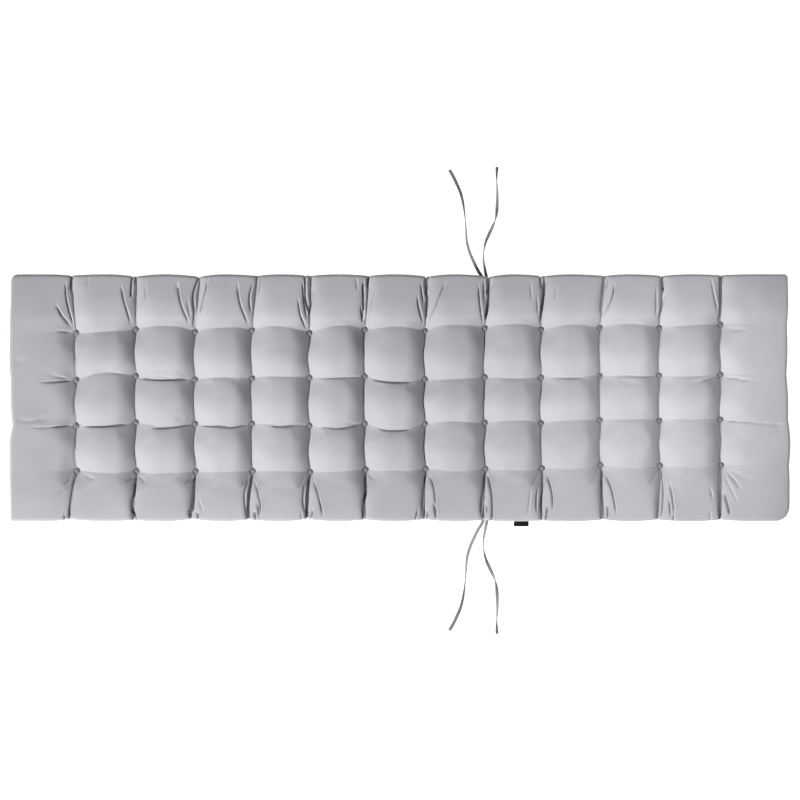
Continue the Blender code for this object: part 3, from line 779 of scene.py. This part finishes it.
SOFT_LEVEL_FOLDS = (
    (11, 359, 20, 361, 31, 362), (13.8, 418.8, 30, 420.5, 55, 417.3), (30, 427, 42, 427, 53, 426.5),
    (42.5, 369, 55, 375.5, 71, 379), (53.8, 330.5, 63, 331, 74, 332), (83, 473, 90, 477, 97, 479),
    (86, 374.5, 104, 370.8, 124, 373.5), (148, 372.5, 168, 370.3, 188, 373.5),
    (149, 419.5, 168, 417.5, 188, 419.5), (317.5, 377.5, 340, 377, 362.5, 376.3),
    (334, 420.5, 350, 423, 360, 424.3), (550, 377, 568, 377, 585, 377),
    (612, 373.5, 626, 374.5, 641, 373), (617.5, 379.3, 635, 381.8, 642.5, 380.5),
    (632.5, 376, 645, 376, 657.5, 376), (685, 380, 695, 381.3, 717.5, 375.5),
    (724.5, 328, 738, 328.5, 750, 328), (767.5, 425.5, 777, 428, 787.5, 431.8),
    (772.5, 395.5, 780, 395, 787.5, 394.3),
)

# Each kind of fold, the side of its ridge, and where such folds are
FOLDS = (
    (SHARP, RIGHT, SHARP_PLEATS),
    (CLEAR, RIGHT, CLEAR_PLEATS),
    (SOFT, RIGHT, SOFT_PLEATS),
    (CLEAR, UP, CLEAR_LEVEL_FOLDS),
    (TUCK, UP, TUCKED_LEVEL_FOLDS),
    (SOFT, UP, SOFT_LEVEL_FOLDS),
)


def seen_at(points):
    """Where the camera sees each point, in the photograph's pixels."""
    nearer = (CAMERA_HEIGHT - SEAM_Z) / (CAMERA_HEIGHT - points[..., 2])
    axis_y = (ORIGIN_PIXEL[1] - PICTURE / 2) * METRES_A_PIXEL
    across = points[..., 0] * nearer / METRES_A_PIXEL
    up = ((points[..., 1] - axis_y) * nearer + axis_y) / METRES_A_PIXEL
    return np.stack([ORIGIN_PIXEL[0] + across, ORIGIN_PIXEL[1] - up], axis=-1)


def fold_ways(points):
    """Which way a fold moves each point: along the normal, but straight up and down at the seam."""
    normals = unit(np.cross(np.gradient(points, axis=1), np.gradient(points, axis=0)))
    inset_x = LENGTH / 2 - np.abs(points[..., 0])
    inset_y = WIDTH / 2 - np.abs(points[..., 1])
    freed = smooth(np.minimum(inset_x, inset_y) / SEAM_KEPT)[..., None]
    return normals * freed + (1 - freed) * (0, 0, 1)


def distance_to_line(places, line, way):
    """Distance of each place from a run of points, which side it is on, and how far along it is."""
    steps = np.diff(line, axis=0)
    lengths = np.linalg.norm(steps, axis=1)
    starts = np.cumsum(lengths) - lengths
    offsets = places[:, None] - line[:-1]
    shares = np.clip((offsets * steps).sum(axis=-1) / lengths**2, 0, 1)
    gaps = offsets - shares[..., None] * steps
    distances = np.hypot(gaps[..., 0], gaps[..., 1])
    step = distances.argmin(axis=1)
    here = (np.arange(len(places)), step)
    along = starts[step] + shares[here] * lengths[step]
    return distances[here], np.sign(gaps[here] @ way), along, lengths.sum()


def fold_profile(distance, side, kind):
    """A fold's section: a slit that the cloth leans into, and a crisp ridge that falls away."""
    width = kind.width * np.where(side > 0, STEEP_WALL, GENTLE_WALL)
    fall = np.exp(-((distance / width) ** 2))
    lean = -LEAN_SHARE * kind.depth * np.exp(-distance / LEAN_REACH)
    ridge = kind.ridge * (1 - fall) * np.exp(-distance / RIDGE_REACH)
    return np.where(side > 0, ridge, lean) - kind.depth * fall


def fold_movement(seen, kind, ridge_way, row):
    """Which of the places seen a fold moves, and how far."""
    knots = np.array(row).reshape(-1, 2)
    last = len(knots) - 1
    line = through(knots, np.linspace(0, last, READINGS_A_POINT * last + 1))
    margin = FOLD_REACH / METRES_A_PIXEL
    low, high = line.min(axis=0) - margin, line.max(axis=0) + margin
    near = np.where(((seen > low) & (seen < high)).all(axis=1))[0]
    distance, side, along, total = distance_to_line(seen[near], line, ridge_way)
    distance, along, total = (value * METRES_A_PIXEL for value in (distance, along, total))
    taper = min(kind.taper, total * LONGEST_TAPER)
    strength = smooth(along / taper) * smooth((total - along) / taper)
    return near, strength * fold_profile(distance, side, kind)


def add_folds(top):
    """Cuts each listed fold into the net and raises the cloth beside it."""
    seen = seen_at(top).reshape(-1, 2)
    moved = np.zeros(len(seen))
    for kind, ridge_way, rows in FOLDS:
        for row in rows:
            near, movement = fold_movement(seen, kind, ridge_way, row)
            moved[near] += movement
    return top + moved.reshape(top.shape[:2])[..., None] * fold_ways(top)


# Cover

# Net lines: where they crowd beside a tuft and in from the seam, and how far apart they are
# elsewhere. The middle between the pleats' two strips and the underside have a coarser choice.
BESIDE_COLUMN = (*np.arange(0, 0.0265, 0.0013), *np.arange(0.0276, 0.0440, 0.0018), 0.0475, 0.0535)
BESIDE_ROW = (0, 0.0014, 0.0030, 0.0050, 0.0076, 0.011, 0.015)
IN_FROM_SEAM = (0, 0.0006, 0.0018, 0.0036, 0.006, 0.009, 0.013, 0.018)
COLUMN_STEP = 0.0095
ROW_STEP = 0.0078
PLEAT_STEP = 0.0042
PLEATS_FROM = 0.011
MIDDLE_STEP = 0.0024
UNDER_STEP = 0.0120
SAME_LINE = 1e-6


def net_lines(tufts, beside, half_span, step):
    """Lines crowded at the tufts and the seam, and evenly spread between those bands."""
    insets = np.array(IN_FROM_SEAM)
    bands = [insets - half_span]
    for tuft in tufts:
        bands.append(np.array(sorted({tuft + sign * d for d in beside for sign in (-1, 1)})))
    bands.append(half_span - insets[::-1])
    lines = [bands[0]]
    for left, right in zip(bands, bands[1:]):
        count = max(1, round((right[0] - left[-1]) / step))
        lines.append(np.linspace(left[-1], right[0], count + 1)[1:-1])
        lines.append(right)
    return np.concatenate(lines)


def strip_lines(inner):
    """Lines of a pleats' strip, from the seam in to the inner one, measured from the middle."""
    seam = WIDTH / 2 - np.array(IN_FROM_SEAM)
    count = round((seam[-1] - inner) / PLEAT_STEP)
    return np.concatenate([seam, np.linspace(seam[-1], inner, count + 1)[1:]])


def every_few(lines, step):
    """A coarser choice of the lines, both ends kept."""
    keep = [0]
    for index in range(1, len(lines) - 1):
        if lines[index] - lines[keep[-1]] >= step:
            keep.append(index)
    if lines[-1] - lines[keep[-1]] < step / 2:
        keep.pop()
    return keep + [len(lines) - 1]


def make_shell(material):
    """The visible cushion: three nets for the top that share their lines, and one underneath."""
    fine_u = net_lines(COLUMN_X, BESIDE_COLUMN, LENGTH / 2, COLUMN_STEP)
    keep = every_few(fine_u, MIDDLE_STEP)
    all_v = net_lines(ROW_Y, BESIDE_ROW, WIDTH / 2, ROW_STEP)
    low, high = ROW_Y[0] - PLEATS_FROM, ROW_Y[-1] + PLEATS_FROM
    inside = (all_v > low + SAME_LINE) & (all_v < high - SAME_LINE)
    middle_v = np.concatenate([[low], all_v[inside], [high]])
    nets = ((fine_u, -strip_lines(-low)), (fine_u[keep], middle_v), (fine_u, strip_lines(high)[::-1]))
    tops = [net_points(u, v, top_net(u, v) + lumps(u, v)) for u, v in nets]
    add_cloth_movement(tops, nets)
    return close_shell([add_folds(top) for top in tops], nets, keep, material)


def close_shell(tops, nets, keep, material):
    """One closed mesh: the upper panel's three nets, and a coarser underside sewn to the seam."""
    near, middle, far = tops
    inner = middle[1:-1]
    near_id = numbered(near)
    far_id = numbered(far, near_id.size)
    inner_id = numbered(inner, near_id.size + far_id.size)
    middle_id = np.vstack([near_id[-1, keep], inner_id, far_id[0, keep]])
    faces = quads(near_id) + quads(far_id)
    faces += sewn_quads(middle_id, ((near_id[-1], keep), (far_id[0], keep)))

    (fine_u, near_v), (coarse_u, middle_v), (fine_u, far_v) = nets
    seam_low, seam_high = (np.concatenate([near_id[:, k], inner_id[:, k], far_id[:, k]]) for k in (0, -1))
    v = np.concatenate([near_v, middle_v[1:-1], far_v])
    keep_u, keep_v = every_few(fine_u, UNDER_STEP), every_few(v, UNDER_STEP)
    under_u, under_v = fine_u[keep_u], v[keep_v]
    under = net_points(under_u, under_v, under_net(under_u, under_v))
    under_id = np.empty(under.shape[:2], int)
    under_id[0], under_id[-1] = near_id[0, keep_u], far_id[-1, keep_u]
    under_id[:, 0], under_id[:, -1] = seam_low[keep_v], seam_high[keep_v]
    under = under[1:-1, 1:-1]
    under_id[1:-1, 1:-1] = numbered(under, near_id.size + far_id.size + inner_id.size)
    seams = ((near_id[0], keep_u), (far_id[-1], keep_u), (seam_low, keep_v), (seam_high, keep_v))
    faces += [face[::-1] for face in sewn_quads(under_id, seams)]

    vertices = np.vstack([part.reshape(-1, 3) for part in (near, far, inner, under)])
    flat = ((fine_u, near_v), (fine_u, far_v), (coarse_u, middle_v[1:-1]), (under_u[1:-1], under_v[1:-1]))
    uvs = np.vstack([np.stack(np.meshgrid(*net), axis=-1).reshape(-1, 2) for net in flat])
    return new_mesh_object("cushion_cover", vertices, faces, material, uvs)


def sewn_quads(ids, seams):
    """The faces of a net, with the finer vertices that each seam has along their edges."""
    seam_edges = {}
    for line, kept in seams:
        for a, b in zip(kept, kept[1:]):
            fine = line[a : b + 1].tolist()
            seam_edges[fine[0], fine[-1]] = fine[:-1]
            seam_edges[fine[-1], fine[0]] = fine[:0:-1]
    faces = []
    for face in quads(ids):
        edges = zip(face, face[1:] + face[:1])
        faces.append([k for edge in edges for k in seam_edges.get(edge, edge[:1])])
    return faces


# Buttons. The profile is the half section below the top: out from the axis and up from the cloth, as
# shares of radius and height. Each button has a few puckers, and its own size and turn.

BUTTON_RADIUS = 0.0066
BUTTON_HEIGHT = 0.0066
BUTTON_PROFILE = (
    (0.22, 0.985), (0.45, 0.93), (0.66, 0.82), (0.83, 0.66),
    (0.95, 0.46), (1.0, 0.28), (0.97, 0.12), (0.86, 0.03),
)
BUTTON_SEGMENTS = 40
BUTTON_SIZES = (0.97, 1.03)
BUTTON_SEED = 11
PUCKERS = (9, 13)
PUCKER_DEPTH = 0.025
PUCKER_GROWTH = 3


def make_buttons(material):
    """All the covered buttons as one piece, each seated in its tuft."""
    random = np.random.default_rng(BUTTON_SEED)
    angles = np.arange(BUTTON_SEGMENTS) * 2 * math.pi / BUTTON_SEGMENTS
    ways = np.stack([np.cos(angles), np.sin(angles), np.zeros_like(angles)], axis=-1)
    up = np.array([0, 0, BUTTON_HEIGHT])
    ring_ids = np.arange(len(BUTTON_PROFILE) * BUTTON_SEGMENTS).reshape(-1, BUTTON_SEGMENTS)
    vertices, faces = [], []
    for seat in net_points(COLUMN_X, ROW_Y, top_net(COLUMN_X, ROW_Y) + GAP).reshape(-1, 3):
        spin = random.uniform(0, 2 * math.pi)
        puckers = random.integers(*PUCKERS)
        size = random.uniform(*BUTTON_SIZES)
        top = len(vertices)
        vertices.append(seat + up)
        for share, level in BUTTON_PROFILE:
            pucker = 1 + PUCKER_DEPTH * share**PUCKER_GROWTH * np.cos(puckers * (angles + spin))
            reach = share * BUTTON_RADIUS * size * pucker
            vertices.extend(seat + level * up + reach[:, None] * ways)
        rings = rings_closed(ring_ids + top + 1)
        faces += [(top, a, b) for a, b in zip(rings[0].tolist(), rings[0, 1:].tolist())]
        faces += quads(rings.T)
        faces.append(rings[-1, -2::-1].tolist())
    return new_mesh_object("tuft_buttons", vertices, faces, material, np.array(vertices)[:, :2])


# Tie tapes. A route says where the middle of a tape runs along X and out from its root at the seam,
# and how far it has turned from lying flat, in degrees. A near tape has its own root, and then
# follows the same route further out.

TIE_ROUTES = {
    "low": (
        (0.1984, 0.0000, 20), (0.1908, 0.0120, 25), (0.1821, 0.0305, 30), (0.1723, 0.0535, 35),
        (0.1657, 0.0750, 45), (0.1630, 0.0915, 58), (0.1616, 0.1130, 75), (0.1598, 0.1370, 92),
        (0.1576, 0.1590, 112), (0.1538, 0.1830, 132), (0.1484, 0.2045, 152), (0.1396, 0.2255, 166),
        (0.1303, 0.2450, 174), (0.1210, 0.2610, 180),
    ),
    "high": (
        (0.2106, 0.0000, 30), (0.2074, 0.0175, 50), (0.2040, 0.0415, 78), (0.2055, 0.0650, 100),
        (0.2106, 0.0870, 135), (0.2187, 0.1055, 170), (0.2267, 0.1230, 215), (0.2333, 0.1395, 275),
        (0.2370, 0.1590, 330), (0.2382, 0.1805, 385), (0.2384, 0.2045, 420), (0.2370, 0.2330, 450),
        (0.2370, 0.2550, 490), (0.2379, 0.2695, 515),
    ),
}
NEAR_ROOTS = {"low": (0.2038, 0.0, 20), "high": (0.2126, 0.0, 25)}
NEAR_LEAD = 0.013

# Each tape: which long edge, its route, where its root stands along Y, and its real length
Tie = namedtuple("Tie", "side route root_y length")
TIES = {
    "tie_far_low": Tie(1, "low", 0.2967, 0.281),
    "tie_far_high": Tie(1, "high", 0.2953, 0.282),
    "tie_near_low": Tie(-1, "low", -0.2979, 0.295),
    "tie_near_high": Tie(-1, "high", -0.2977, 0.295),
}
TAPE_WIDTH = 0.008
TAPE_THICKNESS = 0.0022
TAPE_FALL = 0.085
TAPE_STEP = 0.0025
TAPE_SEWN_IN = 0.006
ROUTE_READINGS = 400

# Half the tape's section, from one edge over the top to the other: across, and up from its middle,
# as shares of half its width and half its thickness
TAPE_SECTION = (
    (-1.00, 0.00), (-0.97, 0.55), (-0.86, 0.95), (-0.72, 1.00), (-0.62, 0.62), (-0.52, 1.00),
    (0.00, 1.00), (0.62, 1.00), (0.86, 0.95), (0.97, 0.55),
)


def tie_line(tie):
    """Points down the middle of a tape, and its turn at each, as in the solids."""
    route = TIE_ROUTES[tie.route]
    if tie.side < 0:
        route = [NEAR_ROOTS[tie.route]] + [(x, out + NEAR_LEAD, turn) for x, out, turn in route]
    dense = through(route, np.linspace(0, len(route) - 1, ROUTE_READINGS))
    along = np.concatenate([[0], np.cumsum(np.hypot(np.diff(dense[:, 0]), np.diff(dense[:, 1])))])
    steps = np.linspace(0, along[-1], round(along[-1] / TAPE_STEP) + 1)
    x, out, turn = (np.interp(steps, along, dense[:, k]) for k in range(3))
    turn = np.radians(turn)
    lying = GAP + np.abs(np.sin(turn)) * TAPE_WIDTH / 2 + np.abs(np.cos(turn)) * TAPE_THICKNESS / 2
    z = lying + (SEAM_Z - lying) * (1 - smooth(out / TAPE_FALL))
    y = tie.root_y + tie.side * out
    return np.stack([x, y, z], axis=-1), tie.side * turn


def make_tie(name, tie, material):
    line, turns = tie_line(tie)
    root = line[0]
    inward = unit(line[0] - line[1]) * TAPE_SEWN_IN
    line = np.vstack([root + inward, root + inward / 2, line])
    turns = np.concatenate([turns[:1], turns[:1], turns])[:, None]
    ways = unit(np.gradient(line, axis=0))
    level = unit(np.cross(ways, (0, 0, 1)))
    across = level * np.cos(turns) + np.cross(level, ways) * np.sin(turns)
    normal = np.cross(ways, across)
    half = np.array(TAPE_SECTION) * (TAPE_WIDTH / 2, TAPE_THICKNESS / 2)
    section = np.vstack([half, -half])
    points = line[:, None] + across[:, None] * section[:, :1] + normal[:, None] * section[:, 1:]
    points[..., 2] = np.maximum(points[..., 2], 0.0)
    ids = numbered(points)
    faces = quads(rings_closed(ids)) + [ids[0, ::-1].tolist(), ids[-1].tolist()]
    uvs = np.stack(np.meshgrid(section[:, 0], TAPE_STEP * np.arange(len(line))), axis=-1)
    tape = new_mesh_object(f"{name}_tape", points.reshape(-1, 3), faces, material, uvs.reshape(-1, 2))
    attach(tape, "root")
    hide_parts(name)


# Label

LABEL_X = 0.296
LABEL_WIDTH = 0.036
LABEL_REACH = 0.015
LABEL_THICKNESS = 0.0009
LABEL_DROOP = 0.004
LABEL_CELLS = (24, 12)
LABEL_TURN_FROM = 0.92
LABEL_TURN_LEAST = 0.25
LABEL_WAVE_HEIGHT = 0.0005
LABEL_WAVE_TURNS = 7
LABEL_WAVE_START = 1.3


def make_label(material):
    """The blank sewn-in label, folded over at its outer end."""
    seam_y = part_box("label")[1][1]
    cells_x, cells_y = LABEL_CELLS
    across, out = np.meshgrid(np.linspace(-0.5, 0.5, cells_x + 1), np.linspace(0, 1, cells_y + 1))
    turn = np.maximum(0.0, (out - LABEL_TURN_FROM) / (1 - LABEL_TURN_FROM))
    lift = LABEL_THICKNESS / 2 * np.maximum(np.sqrt(1 - turn**2), LABEL_TURN_LEAST)
    wave = LABEL_WAVE_HEIGHT * np.sin(LABEL_WAVE_TURNS * across + LABEL_WAVE_START) * out
    z = SEAM_Z + wave - LABEL_DROOP * out**2
    x, y = LABEL_X + across * LABEL_WIDTH, seam_y - out * LABEL_REACH
    layers = [np.stack([x, y, z + side * lift], axis=-1).reshape(-1, 3) for side in (1, -1)]
    upper = np.arange(across.size).reshape(across.shape)
    lower = upper + across.size
    rim = np.concatenate([upper[0], upper[1:, -1], upper[-1, -2::-1], upper[-2::-1, 0]])
    faces = [face[::-1] for face in quads(upper)] + quads(lower)
    faces += quads(np.stack([rim, rim + across.size]))
    uvs = np.stack([across * LABEL_WIDTH, out * LABEL_REACH], axis=-1).reshape(-1, 2)
    return new_mesh_object("label_cloth", np.vstack(layers), faces, material, np.vstack([uvs, uvs]))


# Studio

Light = namedtuple("Light", "name place target size power")
LIGHTS = (
    Light("key", (-3.9, -3.39, 4.6), (0, 0, 0.05), 1.7, 572),
    Light("right_overhead", (0.64, 0.0, 0.60), (0.64, 0, 0.0), 0.3, 1.4),
    Light("left_overhead", (-0.38, 0.0, 0.60), (-0.38, 0, 0.0), 0.3, 0.56),
    Light("right_side", (1.70, 0.45, 0.45), (0.85, 0.1, 0.05), 0.4, 2.0),
)
WHITE = (1.0, 1.0, 1.0)
SKY_STRENGTH = 0.010
FLOOR_GREY = (0.5, 0.5, 0.5)
FLOOR_ROUGHNESS = 0.9
FLOOR_Z = -0.0006
STUDIO_REACH = 30.0
BACKDROP_HEIGHT = 15.0


def make_light(light):
    data = bpy.data.lights.new(light.name, "AREA")
    data.shape = "DISK"
    data.size = light.size
    data.energy = light.power
    lamp = bpy.data.objects.new(light.name, data)
    lamp.location = light.place
    way = Vector(light.target) - Vector(light.place)
    lamp.rotation_euler = way.to_track_quat("-Z", "Y").to_euler()
    lamp.visible_camera = False
    bpy.context.scene.collection.objects.link(lamp)


def make_studio():
    scene = bpy.context.scene
    scene.view_settings.view_transform = "Standard"
    world = bpy.data.worlds.new("studio")
    world.use_nodes = True
    background = world.node_tree.nodes["Background"]
    background.inputs["Color"].default_value = (*WHITE, 1.0)
    background.inputs["Strength"].default_value = SKY_STRENGTH
    scene.world = world
    for light in LIGHTS:
        make_light(light)
    material, shader = new_material("floor", FLOOR_GREY, FLOOR_ROUGHNESS)
    shader.inputs["Emission Color"].default_value = (*WHITE, 1.0)
    shader.inputs["Emission Strength"].default_value = 1.0
    corners = [(x * STUDIO_REACH, y * STUDIO_REACH) for x, y in ((-1, -1), (1, -1), (1, 1), (-1, 1))]
    low = [(x, y, FLOOR_Z) for x, y in corners]
    high = [(x, y, BACKDROP_HEIGHT) for x, y in corners]
    floor = new_mesh_object("floor", low, [(0, 1, 2, 3)], material)
    # Walls that only the camera sees, for the lower views
    walls = [(k, (k + 1) % 4, (k + 1) % 4 + 4, k + 4) for k in range(4)]
    backdrop = new_mesh_object("backdrop", low + high, walls, material)
    backdrop.visible_diffuse = False
    backdrop.visible_glossy = False
    backdrop.visible_shadow = False


# Making

def main():
    make_camera()
    tape_cloth = cloth_material("tape_cloth")
    for name, tie in TIES.items():
        make_tie(name, tie, tape_cloth)
    cover = make_shell(cloth_material("cover_cloth"))
    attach(cover, "root")
    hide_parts("cushion")
    buttons = make_buttons(cloth_material("button_cloth_painted_shade"))
    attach(buttons, "root")
    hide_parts(*(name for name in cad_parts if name.startswith("button_")))
    label = make_label(cloth_material("label_cloth"))
    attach(label, "root")
    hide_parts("label")
    make_studio()


main()
